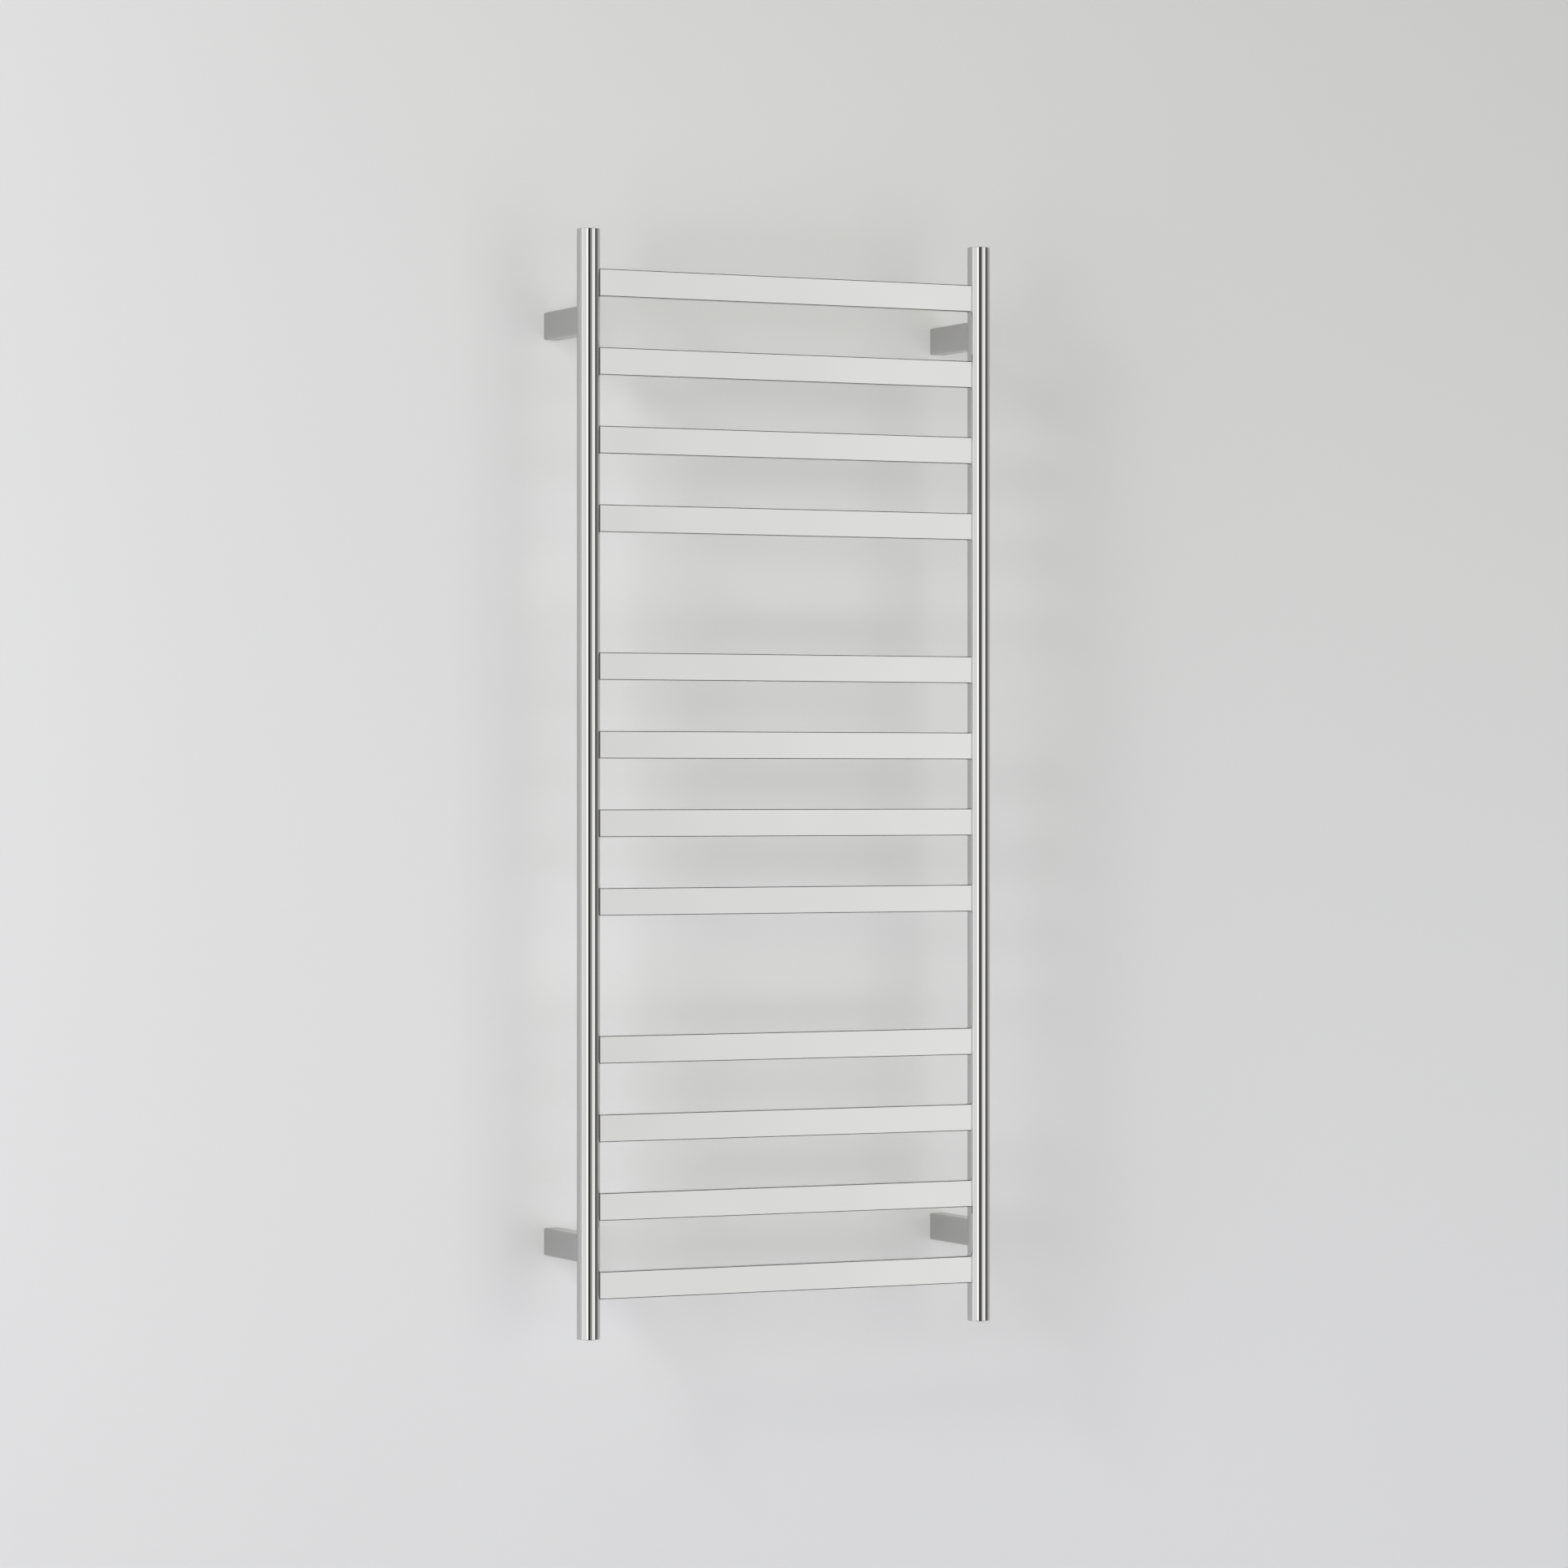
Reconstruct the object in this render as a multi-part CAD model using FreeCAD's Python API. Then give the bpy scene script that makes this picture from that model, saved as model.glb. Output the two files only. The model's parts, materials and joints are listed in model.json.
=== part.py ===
import FreeCAD, Part

import math
import os

# Wall-mounted electric towel warmer rack, in millimetres.
#
# Frame: +X to the right, +Y into the wall, +Z up. The wall's surface is the plane Y = 0.
# The origin is on that plane, in the middle of the four wall screws.
#
# Two round uprights carry twelve flat rails in three groups of four. Four hollow legs
# hold the uprights off the wall. A heating cable runs to and fro inside the rails, and
# the supply comes in through the lower left leg, so that no cord shows.

# ---- driving dimensions ----------------------------------------------------------------
HEIGHT = 1200.0
TUBE_SPACING = 475.0            # between the axes of the uprights
TUBE_DIAMETER = 25.0
TUBE_WALL = 1.2
TUBE_FROM_WALL = 100.0          # from the wall to the axes of the uprights
TUBE_EDGE_BREAK = 0.4           # chamfer round each open end

RAIL_HEIGHT = 30.0
RAIL_DEPTH = 10.0
RAIL_WALL = 1.2
RAIL_CORNER = 1.5
RAIL_PITCH = 85.0               # between rails of one group
GROUP_GAP = 160.0               # between the end rails of neighbouring groups
GROUPS = 3
RAILS_IN_GROUP = 4
SLOT_HEIGHT = 18.0              # cable slots in the uprights, one behind each rail end
SLOT_DEPTH = 6.0
SLOT_CORNER = 2.9

LEG_SPACING = 1004.0            # between the centres of the upper and lower legs
LEG_WIDTH = 20.0
LEG_HEIGHT = 30.0
LEG_WALL = 1.5
LEG_CORNER = 2.0
FRONT_BLOCK_BACK = 78.0         # from the wall to the back face of a leg's front block

WALL_BLOCK_DEPTH = 28.0
WALL_BLOCK_PLAY = 0.3           # between a wall block and the leg that slides over it
WALL_BLOCK_CORNER = 1.0
WALL_BLOCK_LEAD_IN = 0.8
WALL_SCREW_HOLE = 5.5
WALL_SCREW_SEAT = 8.0           # thickness left under the wall screw's head
WALL_SCREW_POCKET = 11.0

BOLT_DIAMETER = 6.0
BOLT_LENGTH = 16.0
BOLT_CLEARANCE_HOLE = 6.4
BOLT_HEAD_DIAMETER = 10.0
BOLT_HEAD_HEIGHT = 6.0
BOLT_KEY = 5.0                  # across the flats of the key socket
BOLT_KEY_DEPTH = 3.0
INSERT_DIAMETER = 9.0
INSERT_LENGTH = 6.6
INSERT_SINK = 0.9               # below the highest line of the upright's wall

GRUB_DIAMETER = 5.0
GRUB_LENGTH = 7.0
GRUB_HOLE_DEPTH = 7.5           # from the underside of the leg
GRUB_FROM_WALL = 14.0
GRUB_KEY = 2.5
GRUB_KEY_DEPTH = 2.5
GRUB_CLEARANCE_HOLE = 5.4

CAP_THICKNESS = 2.0

CABLE_DIAMETER = 4.0
CABLE_BEND = 14.0               # bend radius of the heating cable's centre line
CABLE_OFFSET = 5.0              # of its rises from the uprights' axes, away from the rails
CABLE_END = 30.0                # from the left upright's axis to the cable's sealed end
SEAL_DIAMETER = 5.6
SEAL_LENGTH = 14.0
SPLICE_DIAMETER = 7.5
SPLICE_LENGTH = 18.0
SPLICE_TOP = 6.0                # below the centre of the wired leg

LEAD_DIAMETER = 4.4
LEAD_HEIGHT = 9.0               # above the centre of the wired leg
LEAD_BEND = 7.0
LEAD_HOLE = 5.4
BUSH_DIAMETER = 6.4
BUSH_BORE = 4.6
BUSH_FROM_WALL = (84.0, 91.5)
CUTOUT_DIAMETER = 7.0
CUTOUT_FROM_WALL = (62.0, 76.0)
CUTOUT_EDGE_BREAK = 0.5

TERMINAL_FROM_WALL = (30.0, 50.0)
TERMINAL_WIDTH = 13.0
TERMINAL_HEIGHT = 22.0
TERMINAL_RISE = 0.5             # of the block's centre above the centre of the leg
TERMINAL_CORNER = 1.0
POLE_PITCH = 7.3
POLE_HOLE = 3.0
POLE_HOLE_DEPTH = 7.0
POLE_SCREW_DIAMETER = 3.0
POLE_SCREW_LENGTH = 3.0
POLE_SCREW_SINK = 1.0
POLE_SCREW_FROM_END = 5.0
SCREWDRIVER_SLOT = 0.6

CORE_DIAMETER = 1.8
CORE_BEND = 2.4
CORE_SIDE_STEP = 1.2            # of each core from the middle of the cut-out's end face
CORE_GRIP = 5.0                 # length of a core inside the terminal block

EARTH_DROP = 9.3                # of the earth screw below the centre of the leg
EARTH_SCREW_DIAMETER = 3.5
EARTH_SCREW_LENGTH = 6.0
EARTH_HEAD_DIAMETER = 6.0
EARTH_HEAD_HEIGHT = 2.5
LUG_DIAMETER = 7.0
LUG_THICKNESS = 0.8
LUG_REACH = 6.9                 # of the tab from the screw's axis, along X
LUG_TAB_WIDTH = 3.6
BARREL_DIAMETER = 3.0
BARREL_LENGTH = 6.0
BARREL_SIDE_STEP = 5.4
EARTH_WIRE_DIAMETER = 2.0
EARTH_WIRE_BEND = 4.0

INLET_WIDTH = 9.0
INLET_HEIGHT = 5.2
INLET_RISE = 9.2                # of the inlet's centre above the centre of the leg
INLET_CORNER = 0.5

# ---- places worked out from them -------------------------------------------------------
TUBE_X = TUBE_SPACING / 2
TUBE_Y = -TUBE_FROM_WALL
TUBE_RADIUS = TUBE_DIAMETER / 2
BORE_RADIUS = TUBE_RADIUS - TUBE_WALL
TUBE_BACK = TUBE_Y + TUBE_RADIUS
TOP = HEIGHT / 2

GROUP_SPAN = (RAILS_IN_GROUP - 1) * RAIL_PITCH
GROUP_STEP = GROUP_SPAN + GROUP_GAP
HIGHEST_RAIL = (GROUPS * GROUP_SPAN + (GROUPS - 1) * GROUP_GAP) / 2
RAIL_Z = [
    HIGHEST_RAIL - group * GROUP_STEP - place * RAIL_PITCH
    for group in range(GROUPS)
    for place in range(RAILS_IN_GROUP)
]

LEG_Z = {"upper": LEG_SPACING / 2, "lower": -LEG_SPACING / 2}
SIDES = {"left": -1, "right": 1}
LEGS = [(level, side) for level in LEG_Z for side in SIDES]
WIRED_LEG = ("lower", "left")
WIRED_X = SIDES["left"] * TUBE_X
WIRED_Z = LEG_Z["lower"]
POLE_Z = [WIRED_Z + TERMINAL_RISE + step * POLE_PITCH for step in (-1, 0, 1)]

X = FreeCAD.Vector(1, 0, 0)
Y = FreeCAD.Vector(0, 1, 0)
Z = FreeCAD.Vector(0, 0, 1)


# ---- shapes ----------------------------------------------------------------------------
def at(x, y, z):
    return FreeCAD.Vector(x, y, z)


def cylinder(start, axis, diameter, length):
    """A solid cylinder from start along axis."""
    return Part.makeCylinder(diameter / 2, length, start, axis)


def box(low, high):
    """A box between two opposite corners."""
    size = high - low
    return Part.makeBox(size.x, size.y, size.z, low)


def bar(low, high, axis, corner):
    """A box whose four long edges, parallel to axis, are rounded."""
    solid = box(low, high)
    long_edges = [
        edge for edge in solid.Edges if abs(edge.tangentAt(edge.FirstParameter).dot(axis)) > 0.99
    ]
    return solid.makeFillet(corner, long_edges)


def centred_bar(x, z, width, height, front, back, corner):
    """A rounded bar along Y, centred on x and z, from the plane front to the plane back."""
    half = at(width / 2, 0, height / 2)
    return bar(at(x, front, z) - half, at(x, back, z) + half, Y, corner)


def hexagonal_hole(start, axis, across_flats, depth):
    """The space of a key socket, from start along axis."""
    radius = across_flats / math.sqrt(3)
    side_ways = Z.cross(axis) if abs(axis.dot(Z)) < 0.5 else X
    up_ways = axis.cross(side_ways)
    corners = []
    for index in range(7):
        angle = math.radians(60 * index)
        corners.append(start + side_ways * radius * math.cos(angle) + up_ways * radius * math.sin(angle))
    return Part.Face(Part.makePolygon(corners)).extrude(axis * depth)


def bent_path(points, bend):
    """A wire of straight runs through the points, with a tangent arc of radius bend at each corner."""
    edges = []
    last = points[0]
    for before, corner, after in zip(points, points[1:], points[2:]):
        inward = (corner - before).normalize()
        outward = (after - corner).normalize()
        half_turn = inward.getAngle(outward) / 2
        back_off = bend * math.tan(half_turn)
        first = corner - inward * back_off
        second = corner + outward * back_off
        to_centre = (outward - inward).normalize()
        middle = corner + to_centre * (bend / math.cos(half_turn) - bend)
        edges.append(Part.LineSegment(last, first).toShape())
        edges.append(Part.Arc(first, middle, second).toShape())
        last = second
    edges.append(Part.LineSegment(last, points[-1]).toShape())
    return Part.Wire(edges)


def wire_along(points, diameter, bend):
    """A solid round wire or cable along a path of straight runs and tangent arcs."""
    path = bent_path(points, bend)
    direction = (points[1] - points[0]).normalize()
    circle = Part.Wire(Part.makeCircle(diameter / 2, points[0], direction))
    return path.makePipeShell([circle], True, False)


def upright_outside(side):
    """The full outer cylinder of one upright, which the rails and legs are coped to."""
    return cylinder(at(SIDES[side] * TUBE_X, TUBE_Y, -TOP), Z, TUBE_DIAMETER, HEIGHT)


# ---- frame -----------------------------------------------------------------------------
def make_upright(side):
    """A round tube with a cable slot at each rail, and a hole for each leg's insert."""
    x = SIDES[side] * TUBE_X
    outside = upright_outside(side)
    rims = [edge for edge in outside.Edges if edge.Closed]
    tube = outside.makeChamfer(TUBE_EDGE_BREAK, rims)
    cuts = [cylinder(at(x, TUBE_Y, -TOP), Z, 2 * BORE_RADIUS, HEIGHT)]
    for z in RAIL_Z:
        near, far = sorted((x, x - SIDES[side] * TUBE_DIAMETER))
        low = at(near, TUBE_Y - SLOT_DEPTH / 2, z - SLOT_HEIGHT / 2)
        high = at(far, TUBE_Y + SLOT_DEPTH / 2, z + SLOT_HEIGHT / 2)
        cuts.append(bar(low, high, X, SLOT_CORNER))
    for z in LEG_Z.values():
        cuts.append(cylinder(at(x, TUBE_Y, z), Y, INSERT_DIAMETER, TUBE_DIAMETER))
    if side == WIRED_LEG[1]:
        cuts.append(cylinder(at(x, TUBE_Y, WIRED_Z + LEAD_HEIGHT), Y, BUSH_DIAMETER, TUBE_DIAMETER))
    return tube.cut(cuts)


def make_end_cap(side, end):
    """A disc welded into the end of an upright, flush with its rim."""
    z = TOP - CAP_THICKNESS if end == "upper" else -TOP
    return cylinder(at(SIDES[side] * TUBE_X, TUBE_Y, z), Z, 2 * BORE_RADIUS, CAP_THICKNESS)


def make_rail(z):
    """A flat hollow rail, coped at both ends to sit against the uprights."""
    half = at(TUBE_X, RAIL_DEPTH / 2, RAIL_HEIGHT / 2)
    wall = at(0, RAIL_WALL, RAIL_WALL)
    middle = at(0, TUBE_Y, z)
    outside = bar(middle - half, middle + half, X, RAIL_CORNER)
    inside = bar(middle - half + wall, middle + half - wall, X, RAIL_CORNER - RAIL_WALL)
    return outside.cut([inside, upright_outside("left"), upright_outside("right")])


# ---- legs ------------------------------------------------------------------------------
def make_leg_sleeve(level, side):
    """A hollow leg from the upright to the wall, with a hole for the grub screw underneath."""
    x, z = SIDES[side] * TUBE_X, LEG_Z[level]
    outside = centred_bar(x, z, LEG_WIDTH, LEG_HEIGHT, TUBE_Y, 0, LEG_CORNER)
    inside = centred_bar(
        x, z, LEG_WIDTH - 2 * LEG_WALL, LEG_HEIGHT - 2 * LEG_WALL, TUBE_Y, 0, LEG_CORNER - LEG_WALL
    )
    underside = at(x, -GRUB_FROM_WALL, z - LEG_HEIGHT / 2)
    grub_hole = cylinder(underside, Z, GRUB_CLEARANCE_HOLE, LEG_WALL)
    return outside.cut([inside, upright_outside(side), grub_hole])


def make_front_block(level, side):
    """The block welded into a leg's front end, which a bolt pulls against the upright."""
    x, z = SIDES[side] * TUBE_X, LEG_Z[level]
    block = centred_bar(
        x, z, LEG_WIDTH - 2 * LEG_WALL, LEG_HEIGHT - 2 * LEG_WALL,
        TUBE_Y, -FRONT_BLOCK_BACK, LEG_CORNER - LEG_WALL,
    )
    cuts = [
        upright_outside(side),
        cylinder(at(x, TUBE_Y, z), Y, BOLT_CLEARANCE_HOLE, TUBE_FROM_WALL),
    ]
    if (level, side) == WIRED_LEG:
        lead_z = z + LEAD_HEIGHT
        bush_end = -BUSH_FROM_WALL[0]
        cuts.append(cylinder(at(x, TUBE_Y, lead_z), Y, LEAD_HOLE, TUBE_FROM_WALL))
        cuts.append(cylinder(at(x, TUBE_Y, lead_z), Y, BUSH_DIAMETER, bush_end - TUBE_Y))
        earth = at(x, -FRONT_BLOCK_BACK - EARTH_SCREW_LENGTH, z - EARTH_DROP)
        cuts.append(cylinder(earth, Y, EARTH_SCREW_DIAMETER, EARTH_SCREW_LENGTH))
    return block.cut(cuts)


def make_wall_block(level, side):
    """The block screwed to the wall, which a leg slides over and its grub screw grips."""
    x, z = SIDES[side] * TUBE_X, LEG_Z[level]
    block = centred_bar(
        x, z,
        LEG_WIDTH - 2 * (LEG_WALL + WALL_BLOCK_PLAY),
        LEG_HEIGHT - 2 * (LEG_WALL + WALL_BLOCK_PLAY),
        -WALL_BLOCK_DEPTH, 0, WALL_BLOCK_CORNER,
    )
    front_face = min(block.Faces, key=lambda face: face.CenterOfMass.y)
    block = block.makeChamfer(WALL_BLOCK_LEAD_IN, front_face.Edges)
    underside = at(x, -GRUB_FROM_WALL, z - LEG_HEIGHT / 2)
    cuts = [
        cylinder(at(x, -WALL_BLOCK_DEPTH, z), Y, WALL_SCREW_HOLE, WALL_BLOCK_DEPTH),
        cylinder(at(x, -WALL_BLOCK_DEPTH, z), Y, WALL_SCREW_POCKET, WALL_BLOCK_DEPTH - WALL_SCREW_SEAT),
        cylinder(underside, Z, GRUB_DIAMETER, GRUB_HOLE_DEPTH),
    ]
    if (level, side) == WIRED_LEG:
        inlet_z = z + INLET_RISE
        cuts.append(
            centred_bar(x, inlet_z, INLET_WIDTH, INLET_HEIGHT, -WALL_BLOCK_DEPTH, 0, INLET_CORNER)
        )
    return block.cut(cuts)


def make_insert(level, side):
    """A threaded insert welded into the back of an upright."""
    x, z = SIDES[side] * TUBE_X, LEG_Z[level]
    front = at(x, TUBE_BACK - INSERT_SINK - INSERT_LENGTH, z)
    body = cylinder(front, Y, INSERT_DIAMETER, INSERT_LENGTH)
    return body.cut(cylinder(front, Y, BOLT_DIAMETER, INSERT_LENGTH))


def make_leg_bolt(level, side):
    """A socket-head bolt from inside a leg into the upright's insert."""
    x, z = SIDES[side] * TUBE_X, LEG_Z[level]
    seat = at(x, -FRONT_BLOCK_BACK, z)
    shank = cylinder(seat, -Y, BOLT_DIAMETER, BOLT_LENGTH)
    head = cylinder(seat, Y, BOLT_HEAD_DIAMETER, BOLT_HEAD_HEIGHT)
    key_hole = hexagonal_hole(seat + Y * BOLT_HEAD_HEIGHT, -Y, BOLT_KEY, BOLT_KEY_DEPTH)
    return shank.fuse(head).cut(key_hole).removeSplitter()


def make_grub_screw(level, side):
    """A headless screw, up through a leg's underside into its wall block."""
    underside = at(SIDES[side] * TUBE_X, -GRUB_FROM_WALL, LEG_Z[level] - LEG_HEIGHT / 2)
    screw = cylinder(underside, Z, GRUB_DIAMETER, GRUB_LENGTH)
    return screw.cut(hexagonal_hole(underside, Z, GRUB_KEY, GRUB_KEY_DEPTH))


# ---- heating cable ---------------------------------------------------------------------
def make_heating_cable():
    """One cable through all the rails, from the bottom to the top, rising inside the uprights."""
    splice_end = at(WIRED_X, TUBE_Y, WIRED_Z - SPLICE_TOP - SPLICE_LENGTH)
    points = [splice_end, at(WIRED_X, TUBE_Y, RAIL_Z[-1])]
    going = 1
    for lower, higher in zip(RAIL_Z[::-1], RAIL_Z[-2::-1]):
        rise_x = going * (TUBE_X + CABLE_OFFSET)
        points += [at(rise_x, TUBE_Y, lower), at(rise_x, TUBE_Y, higher)]
        going = -going
    points.append(at(WIRED_X + CABLE_END, TUBE_Y, RAIL_Z[0]))
    return wire_along(points, CABLE_DIAMETER, CABLE_BEND)


def make_cable_end_seal():
    """The moulded seal on the far end of the heating cable, inside the top rail."""
    return cylinder(at(WIRED_X + CABLE_END, TUBE_Y, RAIL_Z[0]), -X, SEAL_DIAMETER, SEAL_LENGTH)


def make_splice_sleeve():
    """The shrunk sleeve over the splice between the cold lead and the heating cable."""
    return cylinder(at(WIRED_X, TUBE_Y, WIRED_Z - SPLICE_TOP), -Z, SPLICE_DIAMETER, SPLICE_LENGTH)


def make_cold_lead():
    """The unheated lead, from the thermal cut-out through the bush and down to the splice."""
    lead_z = WIRED_Z + LEAD_HEIGHT
    points = [
        at(WIRED_X, -CUTOUT_FROM_WALL[1], lead_z),
        at(WIRED_X, TUBE_Y, lead_z),
        at(WIRED_X, TUBE_Y, WIRED_Z - SPLICE_TOP),
    ]
    return wire_along(points, LEAD_DIAMETER, LEAD_BEND)


def make_cable_bush():
    """The bush that keeps the cold lead off the edge of the hole in the upright."""
    near, far = BUSH_FROM_WALL
    start = at(WIRED_X, -far, WIRED_Z + LEAD_HEIGHT)
    return cylinder(start, Y, BUSH_DIAMETER, far - near).cut(cylinder(start, Y, BUSH_BORE, far - near))


def make_thermal_cutout():
    """The over-temperature cut-out, in line with the cold lead."""
    near, far = CUTOUT_FROM_WALL
    body = cylinder(at(WIRED_X, -far, WIRED_Z + LEAD_HEIGHT), Y, CUTOUT_DIAMETER, far - near)
    return body.makeChamfer(CUTOUT_EDGE_BREAK, [edge for edge in body.Edges if edge.Closed])


# ---- connections in the wired leg ------------------------------------------------------
def make_terminal_block():
    """A three-pole screw terminal block with wire holes at both ends and screws on its left."""
    near, far = TERMINAL_FROM_WALL
    block = centred_bar(
        WIRED_X, WIRED_Z + TERMINAL_RISE, TERMINAL_WIDTH, TERMINAL_HEIGHT, -far, -near, TERMINAL_CORNER
    )
    cuts = []
    for z in POLE_Z:
        cuts.append(cylinder(at(WIRED_X, -far, z), Y, POLE_HOLE, POLE_HOLE_DEPTH))
        cuts.append(cylinder(at(WIRED_X, -near, z), -Y, POLE_HOLE, POLE_HOLE_DEPTH))
        for start in pole_screw_starts(z):
            cuts.append(cylinder(start, X, POLE_SCREW_DIAMETER, POLE_SCREW_SINK + POLE_SCREW_LENGTH))
    return block.cut(cuts)


def pole_screw_starts(z):
    """Where the two screws of the pole at height z go into the terminal block's left face."""
    near, far = TERMINAL_FROM_WALL
    face_x = WIRED_X - TERMINAL_WIDTH / 2
    return [at(face_x, y, z) for y in (-far + POLE_SCREW_FROM_END, -near - POLE_SCREW_FROM_END)]


def make_terminal_screws():
    """The slotted clamping screws of the terminal block, two to a pole."""
    screws = []
    for z in POLE_Z:
        for start in pole_screw_starts(z):
            head = start + X * POLE_SCREW_SINK
            screw = cylinder(head, X, POLE_SCREW_DIAMETER, POLE_SCREW_LENGTH)
            half = at(0, POLE_SCREW_DIAMETER, SCREWDRIVER_SLOT / 2)
            screws.append(screw.cut(box(head - half, head + half + X * SCREWDRIVER_SLOT)))
    return Part.makeCompound(screws)


def make_element_cores():
    """The cold lead's two cores, from the thermal cut-out into the upper two poles."""
    cutout_y = -CUTOUT_FROM_WALL[0]
    face_y = -TERMINAL_FROM_WALL[1]
    lead_z = WIRED_Z + LEAD_HEIGHT
    cores = []
    for side_step, pole_z in ((-CORE_SIDE_STEP, POLE_Z[2]), (CORE_SIDE_STEP, POLE_Z[1])):
        points = [
            at(WIRED_X + side_step, cutout_y, lead_z),
            at(WIRED_X + side_step, cutout_y + CORE_BEND, lead_z),
            at(WIRED_X, face_y - CORE_BEND, pole_z),
            at(WIRED_X, face_y + CORE_GRIP, pole_z),
        ]
        cores.append(wire_along(points, CORE_DIAMETER, CORE_BEND))
    return Part.makeCompound(cores)


def make_earth_screw():
    """The screw that clamps the earth lug to the front block of the wired leg."""
    seat = at(WIRED_X, -FRONT_BLOCK_BACK + LUG_THICKNESS, WIRED_Z - EARTH_DROP)
    shank = cylinder(seat, -Y, EARTH_SCREW_DIAMETER, EARTH_SCREW_LENGTH)
    head = cylinder(seat, Y, EARTH_HEAD_DIAMETER, EARTH_HEAD_HEIGHT)
    half = at(EARTH_HEAD_DIAMETER, 0, SCREWDRIVER_SLOT / 2)
    top = seat + Y * EARTH_HEAD_HEIGHT
    slot = box(top - half - Y * SCREWDRIVER_SLOT, top + half)
    return shank.fuse(head).cut(slot).removeSplitter()


def make_earth_lug():
    """A ring lug with a crimped barrel turned towards the terminal block."""
    seat = at(WIRED_X, -FRONT_BLOCK_BACK, WIRED_Z - EARTH_DROP)
    ring = cylinder(seat, Y, LUG_DIAMETER, LUG_THICKNESS)
    tab = box(seat - Z * (LUG_TAB_WIDTH / 2), seat + at(LUG_REACH, LUG_THICKNESS, LUG_TAB_WIDTH / 2))
    barrel_start = seat + at(BARREL_SIDE_STEP, LUG_THICKNESS, 0)
    barrel = cylinder(barrel_start, Y, BARREL_DIAMETER, BARREL_LENGTH)
    screw_hole = cylinder(seat, Y, EARTH_SCREW_DIAMETER, LUG_THICKNESS)
    return ring.fuse([tab, barrel]).cut(screw_hole).removeSplitter()


def make_earth_wire():
    """The earth core, from the lug's barrel into the lowest pole."""
    barrel_end_y = -FRONT_BLOCK_BACK + LUG_THICKNESS + BARREL_LENGTH
    face_y = -TERMINAL_FROM_WALL[1]
    barrel_x = WIRED_X + BARREL_SIDE_STEP
    barrel_z = WIRED_Z - EARTH_DROP
    points = [
        at(barrel_x, barrel_end_y, barrel_z),
        at(barrel_x, barrel_end_y + EARTH_WIRE_BEND, barrel_z),
        at(WIRED_X, face_y - EARTH_WIRE_BEND, POLE_Z[0]),
        at(WIRED_X, face_y + CORE_GRIP, POLE_Z[0]),
    ]
    return wire_along(points, EARTH_WIRE_DIAMETER, EARTH_WIRE_BEND)


# ---- the whole rack --------------------------------------------------------------------
def make_all_nodes():
    """Every sub-part, by node name."""
    nodes = {}
    for side in SIDES:
        nodes[f"upright_{side}"] = make_upright(side)
        for end in LEG_Z:
            nodes[f"end_cap_{end}_{side}"] = make_end_cap(side, end)
    for number, z in enumerate(RAIL_Z, start=1):
        nodes[f"rail_{number:02d}"] = make_rail(z)
    for level, side in LEGS:
        nodes[f"leg_sleeve_{level}_{side}"] = make_leg_sleeve(level, side)
        nodes[f"leg_front_block_{level}_{side}"] = make_front_block(level, side)
        nodes[f"wall_block_{level}_{side}"] = make_wall_block(level, side)
    nodes["threaded_inserts"] = Part.makeCompound([make_insert(*leg) for leg in LEGS])
    nodes["leg_bolts"] = Part.makeCompound([make_leg_bolt(*leg) for leg in LEGS])
    nodes["grub_screws"] = Part.makeCompound([make_grub_screw(*leg) for leg in LEGS])
    nodes["heating_cable"] = make_heating_cable()
    nodes["cable_end_seal"] = make_cable_end_seal()
    nodes["splice_sleeve"] = make_splice_sleeve()
    nodes["cold_lead"] = make_cold_lead()
    nodes["cable_bush"] = make_cable_bush()
    nodes["thermal_cutout"] = make_thermal_cutout()
    nodes["terminal_block"] = make_terminal_block()
    nodes["terminal_screws"] = make_terminal_screws()
    nodes["element_cores"] = make_element_cores()
    nodes["earth_screw"] = make_earth_screw()
    nodes["earth_lug"] = make_earth_lug()
    nodes["earth_wire"] = make_earth_wire()
    return nodes


os.makedirs("parts", exist_ok=True)
for name, shape in make_all_nodes().items():
    shape.exportStep(f"parts/{name}.step")
    print(f"{name:32s} {len(shape.Solids):2d} solids  valid {shape.isValid()}  {shape.Volume:12.1f} mm3")
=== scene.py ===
import json
import math

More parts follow.
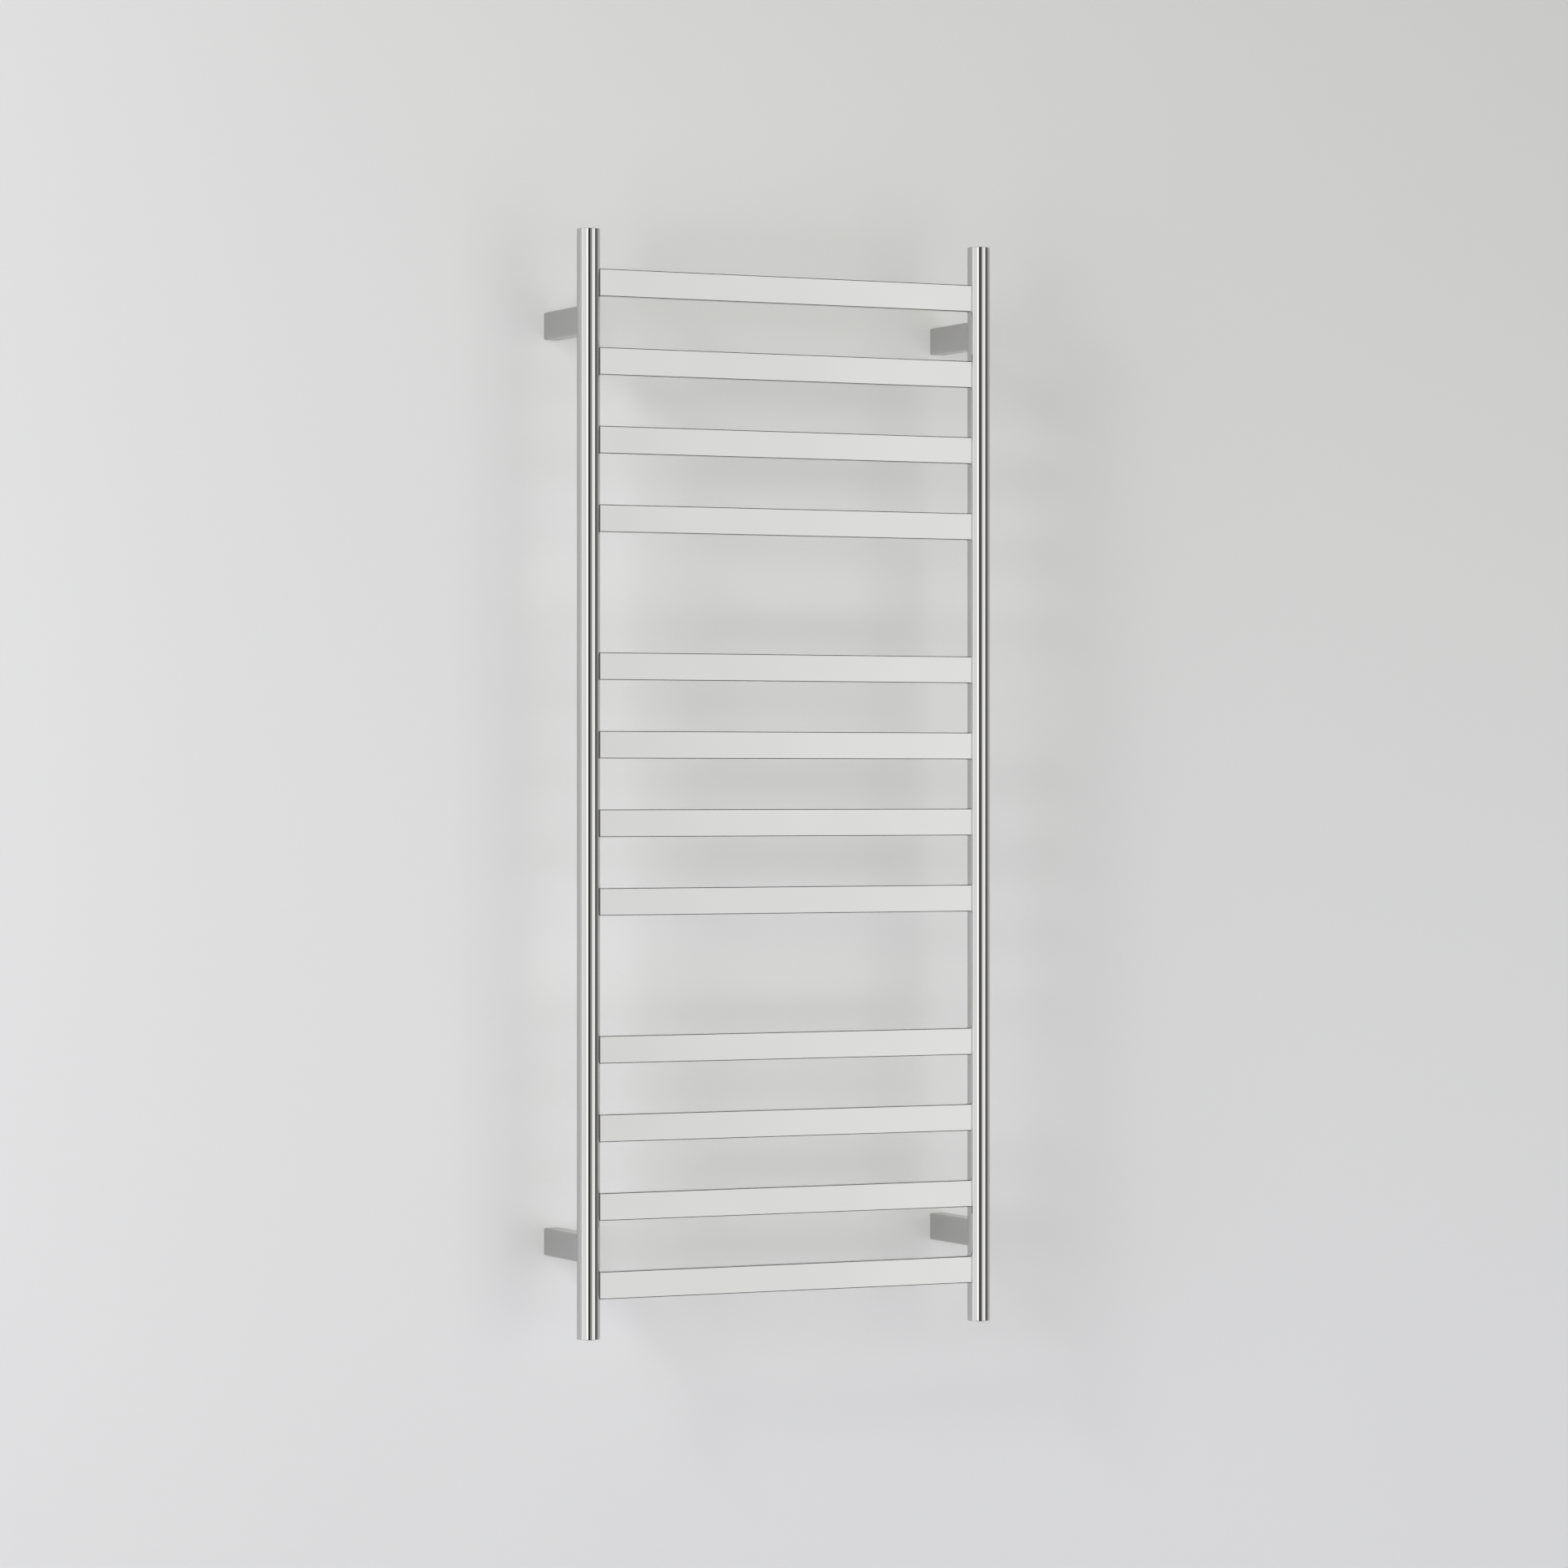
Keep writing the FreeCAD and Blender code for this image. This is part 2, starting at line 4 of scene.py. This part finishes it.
import bmesh
import bpy
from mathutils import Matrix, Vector


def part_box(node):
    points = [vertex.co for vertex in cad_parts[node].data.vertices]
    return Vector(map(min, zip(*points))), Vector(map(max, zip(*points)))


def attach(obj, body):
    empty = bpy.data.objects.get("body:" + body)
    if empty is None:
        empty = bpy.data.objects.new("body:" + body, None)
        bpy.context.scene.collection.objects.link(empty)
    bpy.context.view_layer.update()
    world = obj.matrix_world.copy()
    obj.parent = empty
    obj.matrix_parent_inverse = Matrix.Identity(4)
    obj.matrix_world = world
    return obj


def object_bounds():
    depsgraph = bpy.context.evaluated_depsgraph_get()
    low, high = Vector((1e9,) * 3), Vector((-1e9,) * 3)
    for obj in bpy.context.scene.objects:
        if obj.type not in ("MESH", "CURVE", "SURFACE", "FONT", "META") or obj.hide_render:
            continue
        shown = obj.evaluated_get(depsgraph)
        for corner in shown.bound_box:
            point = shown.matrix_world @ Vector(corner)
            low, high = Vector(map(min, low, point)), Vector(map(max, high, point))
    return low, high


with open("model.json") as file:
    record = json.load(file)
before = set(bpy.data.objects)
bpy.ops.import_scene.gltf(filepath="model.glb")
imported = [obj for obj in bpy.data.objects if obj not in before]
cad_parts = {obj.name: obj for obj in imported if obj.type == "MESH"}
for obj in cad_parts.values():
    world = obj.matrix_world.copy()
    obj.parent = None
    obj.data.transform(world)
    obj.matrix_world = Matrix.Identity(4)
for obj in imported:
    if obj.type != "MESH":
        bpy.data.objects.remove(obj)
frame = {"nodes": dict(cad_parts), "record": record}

# Towel warmer rack: looks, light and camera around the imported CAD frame. Everything is in metres,
# with +X to the right, +Y into the wall, +Z up and the wall's surface at Y = 0.

CAD_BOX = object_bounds()
ROOT = "root"
MM = 0.001

# ---- places read from the frame ----------------------------------------------------------
UPRIGHT_LOW, UPRIGHT_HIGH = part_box("upright_right")
TUBE_RADIUS = (UPRIGHT_HIGH.x - UPRIGHT_LOW.x) / 2
TUBE_X = (UPRIGHT_HIGH.x + UPRIGHT_LOW.x) / 2
TUBE_Y = (UPRIGHT_HIGH.y + UPRIGHT_LOW.y) / 2
TOP = UPRIGHT_HIGH.z
RAIL_NODES = sorted(name for name in frame["nodes"] if name.startswith("rail_"))
LEG_NODES = sorted(name for name in frame["nodes"] if name.startswith("leg_sleeve_"))

# ---- weld beads --------------------------------------------------------------------------
RAIL_CORNER = 1.5 * MM          # the corner radii of the CAD's rails and legs
LEG_CORNER = 2.0 * MM
BEAD_RADIUS = 0.6 * MM
CAP_BEAD_RADIUS = BEAD_RADIUS / 3
BEAD_SIDES = 8
CORNER_STEPS = 5                # pieces in each rounded corner of a bead's path
SIDE_STEP = 1.5 * MM            # longest piece in its straight sides
CAP_STEPS = 96                  # pieces in the seam of an end cap

# ---- camera ------------------------------------------------------------------------------
CAMERA_PLACE = (-2.5079, -5.3802, 0.0)
CAMERA_TURN = 25.375            # degrees to the right of straight at the wall
LENS = 122.01                   # mm on a 36 mm wide sensor

# ---- stage -------------------------------------------------------------------------------
WALL_GAP = 0.5 * MM             # behind the legs, so that their ends stay clear of the wall
HOLE_INSET = 1.5 * MM           # of the holes in the wall from the outlines of the legs
WALL_HALF_WIDTH = 2.4
WALL_TOP = 3.0
FLOOR_DROP = 0.55               # of the floor below the rack
FLOOR_REACH = 14.0

# ---- studio light ------------------------------------------------------------------------
EVEN_LIGHT = (0.05, 0.05, 0.05)     # the world, for everything but reflections and the camera
FILL_LIGHT = 1.20                   # watts per square metre
BACKDROP = (0.70, 0.70, 0.69)       # the world as the camera sees it
DARK_ROOM = (0.045, 0.042, 0.040)   # reflected above and below the ring
DARK_FLAG_LEVEL = 0.2               # the parts of the ring below this level are tinted
DARK_FLAG_TINT = (1, 0.92, 0.86)
RING_TOP = 30                       # elevation in degrees where the ring begins to fade
RING_FADE = 45                      # elevation where it has gone


# ==========================================================================================
# materials
# ==========================================================================================
def math_node(tree, operation, *values):
    """Adds a math node. Each value is a number, or a socket to join."""
    node = tree.nodes.new("ShaderNodeMath")
    node.operation = operation
    for socket, value in zip(node.inputs, values):
        if isinstance(value, (int, float)):
            socket.default_value = value
        else:
            tree.links.new(value, socket)
    return node.outputs["Value"]


def colour_ramp(tree, factor, stops):
    """Adds a colour ramp. stops are (position, colour)."""
    node = tree.nodes.new("ShaderNodeValToRGB")
    elements = node.color_ramp.elements
    while len(elements) < len(stops):
        elements.new(1.0)
    for element, (position, colour) in zip(elements, stops):
        element.position = position
        element.color = (*colour, 1)
    tree.links.new(factor, node.inputs["Fac"])
    return node.outputs["Color"]


class Nodes:
    """A new node material with short calls for adding and joining nodes."""

    def __init__(self, name):
        self.material = bpy.data.materials.new(name)
        self.material.use_nodes = True
        self.tree = self.material.node_tree
        self.shader = self.tree.nodes["Principled BSDF"]

    def add(self, kind):
        return self.tree.nodes.new(kind)

    def join(self, source, target):
        self.tree.links.new(source, target)

    def set(self, **values):
        """Sets the shader's own sockets, with underscores for the spaces in their names."""
        for key, value in values.items():
            self.shader.inputs[key.replace("_", " ")].default_value = value

    def coordinates(self, stretch=(1, 1, 1)):
        """Object coordinates in metres, stretched along the axes."""
        source = self.add("ShaderNodeTexCoord")
        mapping = self.add("ShaderNodeMapping")
        mapping.inputs["Scale"].default_value = stretch
        self.join(source.outputs["Object"], mapping.inputs["Vector"])
        return mapping.outputs["Vector"]

    def noise(self, vector, scale, detail=3.0, roughness=0.5):
        node = self.add("ShaderNodeTexNoise")
        node.inputs["Scale"].default_value = scale
        node.inputs["Detail"].default_value = detail
        node.inputs["Roughness"].default_value = roughness
        self.join(vector, node.inputs["Vector"])
        return node.outputs["Fac"]

    def spread(self, value, low, high, to_low, to_high):
        """Maps low..high to to_low..to_high, clamped."""
        node = self.add("ShaderNodeMapRange")
        node.inputs["From Min"].default_value = low
        node.inputs["From Max"].default_value = high
        node.inputs["To Min"].default_value = to_low
        node.inputs["To Max"].default_value = to_high
        self.join(value, node.inputs["Value"])
        return node.outputs["Result"]

    def math(self, operation, *values):
        return math_node(self.tree, operation, *values)

    def colours(self, factor, dark, light):
        """Joins a mottle between two colours to the shader's base colour."""
        ramp = colour_ramp(self.tree, factor, [(0.3, dark), (0.7, light)])
        self.join(ramp, self.shader.inputs["Base Color"])

    def bump(self, height, strength, distance):
        node = self.add("ShaderNodeBump")
        node.inputs["Strength"].default_value = strength
        node.inputs["Distance"].default_value = distance
        self.join(height, node.inputs["Height"])
        self.join(node.outputs["Normal"], self.shader.inputs["Normal"])


def polished_steel(name, grain, painted_shade=1.0, edge=0.85):
    """Mirror-polished stainless steel. grain is the stretch of its polishing lines. The third argument
    scales the colour down as a whole: a painted shade, used for the legs' darker copy of the steel.
    edge darkens what it reflects at a glancing angle."""
    n = Nodes(name)
    n.set(Metallic=1.0, Specular_Tint=(edge, edge, edge, 1))
    plain = n.coordinates()
    clouds = n.noise(plain, 6.0, 2.0)
    # painted shade: both mottle colours are scaled down by the darkening factor
    dull = [painted_shade * part for part in (0.588, 0.586, 0.581)]
    bright = [painted_shade * part for part in (0.612, 0.611, 0.607)]
    n.colours(clouds, dull, bright)
    lines = n.noise(n.coordinates(grain), 900.0, 4.0, 0.6)
    smudges = n.noise(plain, 22.0, 5.0, 0.62)
    fine = n.spread(lines, 0.35, 0.75, 0.012, 0.030)
    hazy = n.spread(smudges, 0.58, 0.80, 0.0, 0.025)
    n.join(n.math("ADD", fine, hazy), n.shader.inputs["Roughness"])
    n.bump(lines, strength=0.015, distance=0.02 * MM)
    return n.material


def plain_finish(name, dark, light, scale, roughness, bump, metallic=0.0):
    """A mottled finish between two colours and two roughnesses, with a fine bump. scale is the
    fineness of the mottle and bump the strength of the bump."""
    n = Nodes(name)
    n.set(Metallic=metallic)
    plain = n.coordinates()
    mottle = n.noise(plain, scale, 4.0, 0.6)
    n.colours(mottle, dark, light)
    n.join(n.spread(mottle, 0.3, 0.7, *roughness), n.shader.inputs["Roughness"])
    n.bump(n.noise(plain, scale * 6), bump, distance=0.1 * MM)
    return n.material


def make_materials():
    """One material for each of the record's slots, and one for each direction of polishing."""
    return {
        "upright": polished_steel("polished_steel_upright", grain=(1, 1, 0.02), edge=0.80),
        "rail": polished_steel("polished_steel_rail", grain=(0.02, 1, 1)),
        # the legs' copy of the steel is a little darker: painted shade
        "leg": polished_steel("polished_steel_leg", grain=(1, 0.04, 1), painted_shade=0.96, edge=0.72),
        "machined_steel": plain_finish(
            "machined_steel_bare", (0.40, 0.40, 0.39), (0.56, 0.56, 0.55), 300, (0.25, 0.45), 0.3, 1.0
        ),
        "cast_alloy": plain_finish(
            "cast_alloy_tumbled", (0.42, 0.43, 0.44), (0.58, 0.59, 0.60), 420, (0.38, 0.60), 0.5, 1.0
        ),
        "zinc_steel": plain_finish(
            "zinc_steel_plated", (0.48, 0.50, 0.53), (0.62, 0.63, 0.64), 500, (0.22, 0.40), 0.2, 1.0
        ),
        "silicone_cable": plain_finish(
            "silicone_red_brown", (0.36, 0.07, 0.05), (0.48, 0.12, 0.09), 260, (0.50, 0.65), 0.2
        ),
        "seal_rubber": plain_finish(
            "seal_black", (0.015, 0.015, 0.015), (0.035, 0.035, 0.035), 400, (0.5, 0.7), 0.3
        ),
        "shrink_sleeve": plain_finish(
            "shrink_black", (0.012, 0.012, 0.014), (0.028, 0.028, 0.030), 400, (0.35, 0.5), 0.4
        ),
        "lead_sheath": plain_finish(
            "lead_pale", (0.58, 0.57, 0.55), (0.70, 0.69, 0.67), 300, (0.45, 0.6), 0.2
        ),
        "bush_nylon": plain_finish(
            "bush_nylon_black", (0.02, 0.02, 0.02), (0.04, 0.04, 0.04), 500, (0.4, 0.55), 0.2
        ),
        "cutout_can": plain_finish(
            "cutout_drawn_can", (0.55, 0.56, 0.57), (0.70, 0.71, 0.72), 300, (0.2, 0.35), 0.15, 1.0
        ),
        "terminal_plastic": plain_finish(
            "terminal_ivory", (0.62, 0.60, 0.50), (0.72, 0.70, 0.60), 350, (0.4, 0.55), 0.2
        ),
        "brass": plain_finish(
            "brass_turned", (0.55, 0.38, 0.14), (0.72, 0.54, 0.26), 500, (0.2, 0.35), 0.15, 1.0
        ),
        "core_insulation": plain_finish(
            "core_blue", (0.03, 0.09, 0.33), (0.06, 0.15, 0.45), 300, (0.35, 0.5), 0.1
        ),
        "tinned_copper": plain_finish(
            "tinned_copper_lug", (0.52, 0.52, 0.50), (0.68, 0.68, 0.66), 400, (0.25, 0.4), 0.2, 1.0
        ),
        "earth_insulation": plain_finish(
            "earth_green", (0.10, 0.26, 0.02), (0.20, 0.38, 0.05), 300, (0.35, 0.5), 0.1
        ),
    }


def dress_cad_nodes(materials):
    """Gives every CAD node its material by the record's slot, and steel by its direction of polish."""
    slots = {part["node"]: part["material_slot"] for part in frame["record"]["subparts"]}
    for name, node in frame["nodes"].items():
        key = slots[name]
        if key == "polished_steel":
            key = {"rail": "rail", "leg": "leg"}.get(name.split("_")[0], "upright")
        for slot in node.material_slots:
            slot.material = materials[key]


# ==========================================================================================
# weld beads
# ==========================================================================================
def rounded_loop(half_a, half_b, corner):
    """Points round a rounded rectangle, closely spaced so that they can follow a curved surface."""
    points = []
    centres = [
        (half_a - corner, half_b - corner, 0), (-half_a + corner, half_b - corner, 90),
        (-half_a + corner, -half_b + corner, 180), (half_a - corner, -half_b + corner, 270),
    ]
    for a, b, start in centres:
        for step in range(CORNER_STEPS + 1):
            angle = math.radians(start + 90 * step / CORNER_STEPS)
            points.append((a + corner * math.cos(angle), b + corner * math.sin(angle)))
    dense = []
    for first, second in zip(points, points[1:] + points[:1]):
        pieces = max(1, math.ceil(math.dist(first, second) / SIDE_STEP))
        for piece in range(pieces):
            share = piece / pieces
            dense.append((
                first[0] + (second[0] - first[0]) * share,
                first[1] + (second[1] - first[1]) * share,
            ))
    return dense


def add_closed_tube(mesh, path, radius):
    """Adds a round bead along a closed path of points to a bmesh."""
    rings = []
    count = len(path)
    centre = sum(path, Vector()) / count
    for index, point in enumerate(path):
        along = (path[(index + 1) % count] - path[index - 1]).normalized()
        side = (point - centre).cross(along).normalized()
        out = along.cross(side)
        rings.append([
            mesh.verts.new(
                point + side * radius * math.cos(angle) + out * radius * math.sin(angle)
            )
            for angle in (2 * math.pi * step / BEAD_SIDES for step in range(BEAD_SIDES))
        ])
    for ring, following in zip(rings, rings[1:] + rings[:1]):
        for step in range(BEAD_SIDES):
            after = (step + 1) % BEAD_SIDES
            mesh.faces.new((ring[step], ring[after], following[after], following[step]))


def piece_from(name, mesh, material):
    """Turns a bmesh into a smooth piece that rides on the rack."""
    data = bpy.data.meshes.new(name)
    bmesh.ops.recalc_face_normals(mesh, faces=mesh.faces)
    mesh.to_mesh(data)
    mesh.free()
    for face in data.polygons:
        face.use_smooth = True
    data.materials.append(material)
    piece = bpy.data.objects.new(name, data)
    bpy.context.scene.collection.objects.link(piece)
    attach(piece, ROOT)


def on_tube(across):
    """How far the upright's surface stands from its axis, at a distance across it."""
    return math.sqrt(TUBE_RADIUS ** 2 - across ** 2)


def rail_end_path(node, side):
    """The line where a rail's outside meets an upright."""
    low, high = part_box(node)
    middle = (low + high) / 2
    half_depth = (high.y - low.y) / 2
    half_height = (high.z - low.z) / 2
    return [
        Vector((side * (TUBE_X - on_tube(y)), middle.y + y, middle.z + z))
        for y, z in rounded_loop(half_depth, half_height, RAIL_CORNER)
    ]


def leg_end_path(node):
    """The line where a leg's outside meets the back of an upright."""
    low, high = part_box(node)
    middle = (low + high) / 2
    half_width = (high.x - low.x) / 2
    half_height = (high.z - low.z) / 2
    return [
        Vector((middle.x + x, TUBE_Y + on_tube(x), middle.z + z))
        for x, z in rounded_loop(half_width, half_height, LEG_CORNER)
    ]


def cap_path(side, z):
    """The seam between an end cap and the rim of an upright. All four caps are alike."""
    cap_low, cap_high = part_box("end_cap_upper_right")
    radius = (cap_high.x - cap_low.x) / 2
    return [
        Vector((side * TUBE_X + radius * math.cos(angle), TUBE_Y + radius * math.sin(angle), z))
        for angle in (2 * math.pi * step / CAP_STEPS for step in range(CAP_STEPS))
    ]


def make_weld_beads(materials):
    """Small polished beads round every rail end, leg end and end cap."""
    for side, side_name in ((-1, "left"), (1, "right")):
        rails = bmesh.new()
        for node in RAIL_NODES:
            add_closed_tube(rails, rail_end_path(node, side), BEAD_RADIUS)
        piece_from(f"weld_rails_{side_name}", rails, materials["upright"])
        legs = bmesh.new()
        for node in LEG_NODES:
            if node.endswith(side_name):
                add_closed_tube(legs, leg_end_path(node), BEAD_RADIUS)
        piece_from(f"weld_legs_{side_name}", legs, materials["upright"])
        caps = bmesh.new()
        for z in (-TOP, TOP):
            add_closed_tube(caps, cap_path(side, z), CAP_BEAD_RADIUS)
        piece_from(f"weld_caps_{side_name}", caps, materials["upright"])


# ==========================================================================================
# stage, light and camera
# ==========================================================================================
def wall_material():
    """Pale matt paint. From behind it is see-through, so that the rack's back can be looked at.

    Rays that have come through it don't see it either, so that it doesn't show in the steel."""
    n = Nodes("stage_wall_paint")
    n.set(Roughness=0.7, Specular_IOR_Level=0.0)
    plain = n.coordinates()
    n.colours(n.noise(plain, 1.2, 2.0), (0.79, 0.79, 0.79), (0.80, 0.80, 0.80))
    n.bump(n.noise(plain, 260.0, 4.0), strength=0.04, distance=0.3 * MM)
    behind = n.add("ShaderNodeNewGeometry").outputs["Backfacing"]
    sheets_passed = n.add("ShaderNodeLightPath").outputs["Transparent Depth"]
    came_through = n.math("GREATER_THAN", sheets_passed, 0.5)
    mix = n.add("ShaderNodeMixShader")
    n.join(n.math("MAXIMUM", behind, came_through), mix.inputs["Fac"])
    n.join(n.shader.outputs["BSDF"], mix.inputs[1])
    n.join(n.add("ShaderNodeBsdfTransparent").outputs["BSDF"], mix.inputs[2])
    n.join(mix.outputs["Shader"], n.tree.nodes["Material Output"].inputs["Surface"])
    return n.material


def floor_material():
    """Pale matt floor, lit evenly as far as it reaches by a glow of its own."""
    n = Nodes("stage_floor_pale")
    n.set(Roughness=0.8, Specular_IOR_Level=0.0, Emission_Strength=1.0)
    n.shader.inputs["Emission Color"].default_value = (0.60, 0.60, 0.595, 1)
    plain = n.coordinates()
    n.colours(n.noise(plain, 1.5, 3.0), (0.05, 0.05, 0.05), (0.06, 0.06, 0.06))
    n.bump(n.noise(plain, 120.0, 4.0), strength=0.05, distance=0.5 * MM)
    return n.material


def stage_sheet(name, xs, ys, zs, material, holes=()):
    """A flat sheet through a grid of corners, without the cells whose numbers are in holes.

    One of xs, ys and zs holds a single value, the plane that the sheet lies in."""
    mesh = bmesh.new()
    upright = len(ys) == 1
    rows = zs if upright else ys
    grid = [
        [mesh.verts.new((x, ys[0], row) if upright else (x, row, zs[0])) for x in xs]
        for row in rows
    ]
    for row in range(len(rows) - 1):
        for column in range(len(xs) - 1):
            if (column, row) not in holes:
                mesh.faces.new((
                    grid[row][column], grid[row][column + 1],
                    grid[row + 1][column + 1], grid[row + 1][column],
                ))
    data = bpy.data.meshes.new(name)
    mesh.to_mesh(data)
    mesh.free()
    data.materials.append(material)
    sheet = bpy.data.objects.new(name, data)
    bpy.context.scene.collection.objects.link(sheet)
    return sheet


def make_stage():
    """A wall just behind the legs and a floor below the rack.

    The wall has a hole behind each leg, so that light reaches the legs' ends in a view from
    behind. The legs cover the holes from the front."""
    floor_z = -TOP - FLOOR_DROP
    wall_y = CAD_BOX[1][1] + WALL_GAP
    low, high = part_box("leg_sleeve_upper_right")
    near, far = low.x + HOLE_INSET, high.x - HOLE_INSET
    bottom, top = low.z + HOLE_INSET, high.z - HOLE_INSET
    xs = [-WALL_HALF_WIDTH, -far, -near, near, far, WALL_HALF_WIDTH]
    zs = [floor_z, -top, -bottom, bottom, top, WALL_TOP]
    holes = [(column, row) for column in (1, 3) for row in (1, 3)]
    stage_sheet("stage_wall", xs, [wall_y], zs, wall_material(), holes)
    reach = (-FLOOR_REACH, FLOOR_REACH)
    floor = stage_sheet("stage_floor", reach, reach, [floor_z], floor_material())
    floor.visible_glossy = False
    floor.visible_diffuse = False
    floor.visible_shadow = False


def make_world():
    """A pale studio. Reflections see a ring of soft boxes and dark flags round the rack, everything
    else gets even light, and the camera sees a plain backdrop.

    The ring is given by its brightness at each bearing from straight out of the wall (degrees,
    positive to the right). It stands at eye level and fades to a dark ceiling and floor. The front
    half shows in views from the room, and the back half in views of the rack's back."""
    front_ring = [
        (-92, 1.30), (-83, 1.30), (-79, 1.08), (-40, 1.12), (-38, 1.9), (-27, 1.9), (-23.5, 0.03),
        (-13.5, 0.03), (-9, 0.05), (-5, 0.10), (-3, 0.45), (-0.5, 0.45), (1.5, 0.30), (8.5, 0.14),
        (11.5, 1.15), (20, 1.11), (23.3, 1.10), (27.5, 1.22), (33, 1.25), (36, 1.65), (43, 1.65),
        (46, 0.26), (60, 0.14), (68, 0.16), (76, 0.28), (88, 0.52), (92, 0.60),
    ]
    back_ring = [
        (-172, 0.78), (-164, 0.10), (-152, 0.10), (-148, 1.30), (-142, 1.30), (-139, 0.85),
        (-116, 0.85), (-112, 0.12), (-102, 0.12), (-98, 0.90), (-92, 1.20), (92, 0.60),
        (98, 0.40), (102, 0.12), (112, 0.12), (116, 0.85), (139, 0.85), (142, 1.30),
        (148, 1.30), (152, 0.10), (164, 0.10), (172, 0.78),
    ]
    world = bpy.data.worlds.new("studio")
    bpy.context.scene.world = world
    world.use_nodes = True
    tree = world.node_tree
    tree.nodes.clear()
    new, link = tree.nodes.new, tree.links.new

    def mix_node(factor, first, second):
        node = new("ShaderNodeMix")
        node.data_type = "RGBA"
        link(factor, node.inputs["Factor"])
        for key, value in (("A", first), ("B", second)):
            if isinstance(value, tuple):
                node.inputs[key].default_value = (*value, 1)
            else:
                link(value, node.inputs[key])
        return node.outputs["Result"]

    def ring_of(levels, share):
        stops = []
        for degrees, level in levels:
            tint = DARK_FLAG_TINT if level < DARK_FLAG_LEVEL else (1, 1, 1)
            stops.append(((degrees + 180) / 360, [level * part for part in tint]))
        return colour_ramp(tree, share, stops)

    direction = new("ShaderNodeTexCoord")
    split = new("ShaderNodeSeparateXYZ")
    link(direction.outputs["Generated"], split.inputs[0])
    across, inward, up = split.outputs
    bearing = math_node(tree, "ARCTAN2", across, math_node(tree, "MULTIPLY", inward, -1))
    share = math_node(tree, "MULTIPLY_ADD", bearing, 1 / (2 * math.pi), 0.5)
    is_behind = math_node(tree, "GREATER_THAN", inward, 0)
    ring = mix_node(is_behind, ring_of(front_ring, share), ring_of(back_ring, share))

    away = new("ShaderNodeMapRange")
    away.interpolation_type = "SMOOTHSTEP"
    away.inputs["From Min"].default_value = math.sin(math.radians(RING_TOP))
    away.inputs["From Max"].default_value = math.sin(math.radians(RING_FADE))
    link(math_node(tree, "ABSOLUTE", up), away.inputs["Value"])
    reflected = mix_node(away.outputs["Result"], ring, DARK_ROOM)

    ray = new("ShaderNodeLightPath")
    straight = math_node(tree, "LESS_THAN", ray.outputs["Diffuse Depth"], 0.5)
    mirrored = math_node(tree, "MULTIPLY", ray.outputs["Is Glossy Ray"], straight)
    lit = mix_node(mirrored, EVEN_LIGHT, reflected)
    background = new("ShaderNodeBackground")
    link(mix_node(ray.outputs["Is Camera Ray"], lit, BACKDROP), background.inputs["Color"])
    output = new("ShaderNodeOutputWorld")
    link(background.outputs[0], output.inputs["Surface"])


def make_lights():
    """Soft panels and an even fill. Reflections see the ring in make_world instead of them.

    Some of the light casts no shadow, so that the rack's shadow on the wall stays faint."""
    panels = [
        # name, place, aim, width, height, watts, colour, casts a shadow
        ("key", (-3.9, -2.05, 2.55), (0, 0, 0), 0.7, 0.7, 32, (1, 1, 0.97), True),
        ("window", (-3.0, -1.5, 0), (0, -0.3, 0), 2.0, 3.0, 52, (0.90, 0.90, 1), True),
        ("window_fill", (-3.0, -1.5, 0), (0, -0.3, 0), 2.0, 3.0, 26, (0.90, 0.90, 1), False),
        ("right", (2.2, -4.2, -0.3), (0, 0, 0), 2.6, 4.0, 36, (1, 1, 0.92), True),
        ("low", (1.2, -2.0, -1.4), (0.9, 0, -0.6), 3.0, 1.5, 13, (0.75, 0.75, 1), False),
    ]
    lamps = []
    for name, place, aim, width, height, watts, colour, casts in panels:
        data = bpy.data.lights.new(f"light_{name}", "AREA")
        data.shape = "RECTANGLE"
        data.size = width
        data.size_y = height
        data.energy = watts
        data.color = colour
        data.use_shadow = casts
        lamps.append((data, place, aim))
    fill = bpy.data.lights.new("light_fill", "SUN")
    fill.energy = FILL_LIGHT
    fill.color = (1, 1, 0.91)
    fill.use_shadow = False
    lamps.append((fill, (0, -4, 1), (0, 0, 0)))
    for data, place, aim in lamps:
        lamp = bpy.data.objects.new(data.name, data)
        lamp.location = place
        lamp.rotation_euler = (Vector(aim) - Vector(place)).to_track_quat("-Z", "Y").to_euler()
        lamp.visible_glossy = False
        lamp.visible_camera = False
        bpy.context.scene.collection.objects.link(lamp)


def make_camera():
    """A long lens at the rack's mid-height, from its left."""
    data = bpy.data.cameras.new("camera")
    data.sensor_width = 36
    data.lens = LENS
    data.clip_end = 100
    camera = bpy.data.objects.new("camera", data)
    camera.location = CAMERA_PLACE
    camera.rotation_euler = (math.radians(90), 0, math.radians(-CAMERA_TURN))
    bpy.context.scene.collection.objects.link(camera)
    bpy.context.scene.camera = camera


make_camera()
make_stage()
make_world()
make_lights()
rack_materials = make_materials()
dress_cad_nodes(rack_materials)
make_weld_beads(rack_materials)
bpy.context.scene.view_settings.view_transform = "Standard"

bpy.context.view_layer.update()
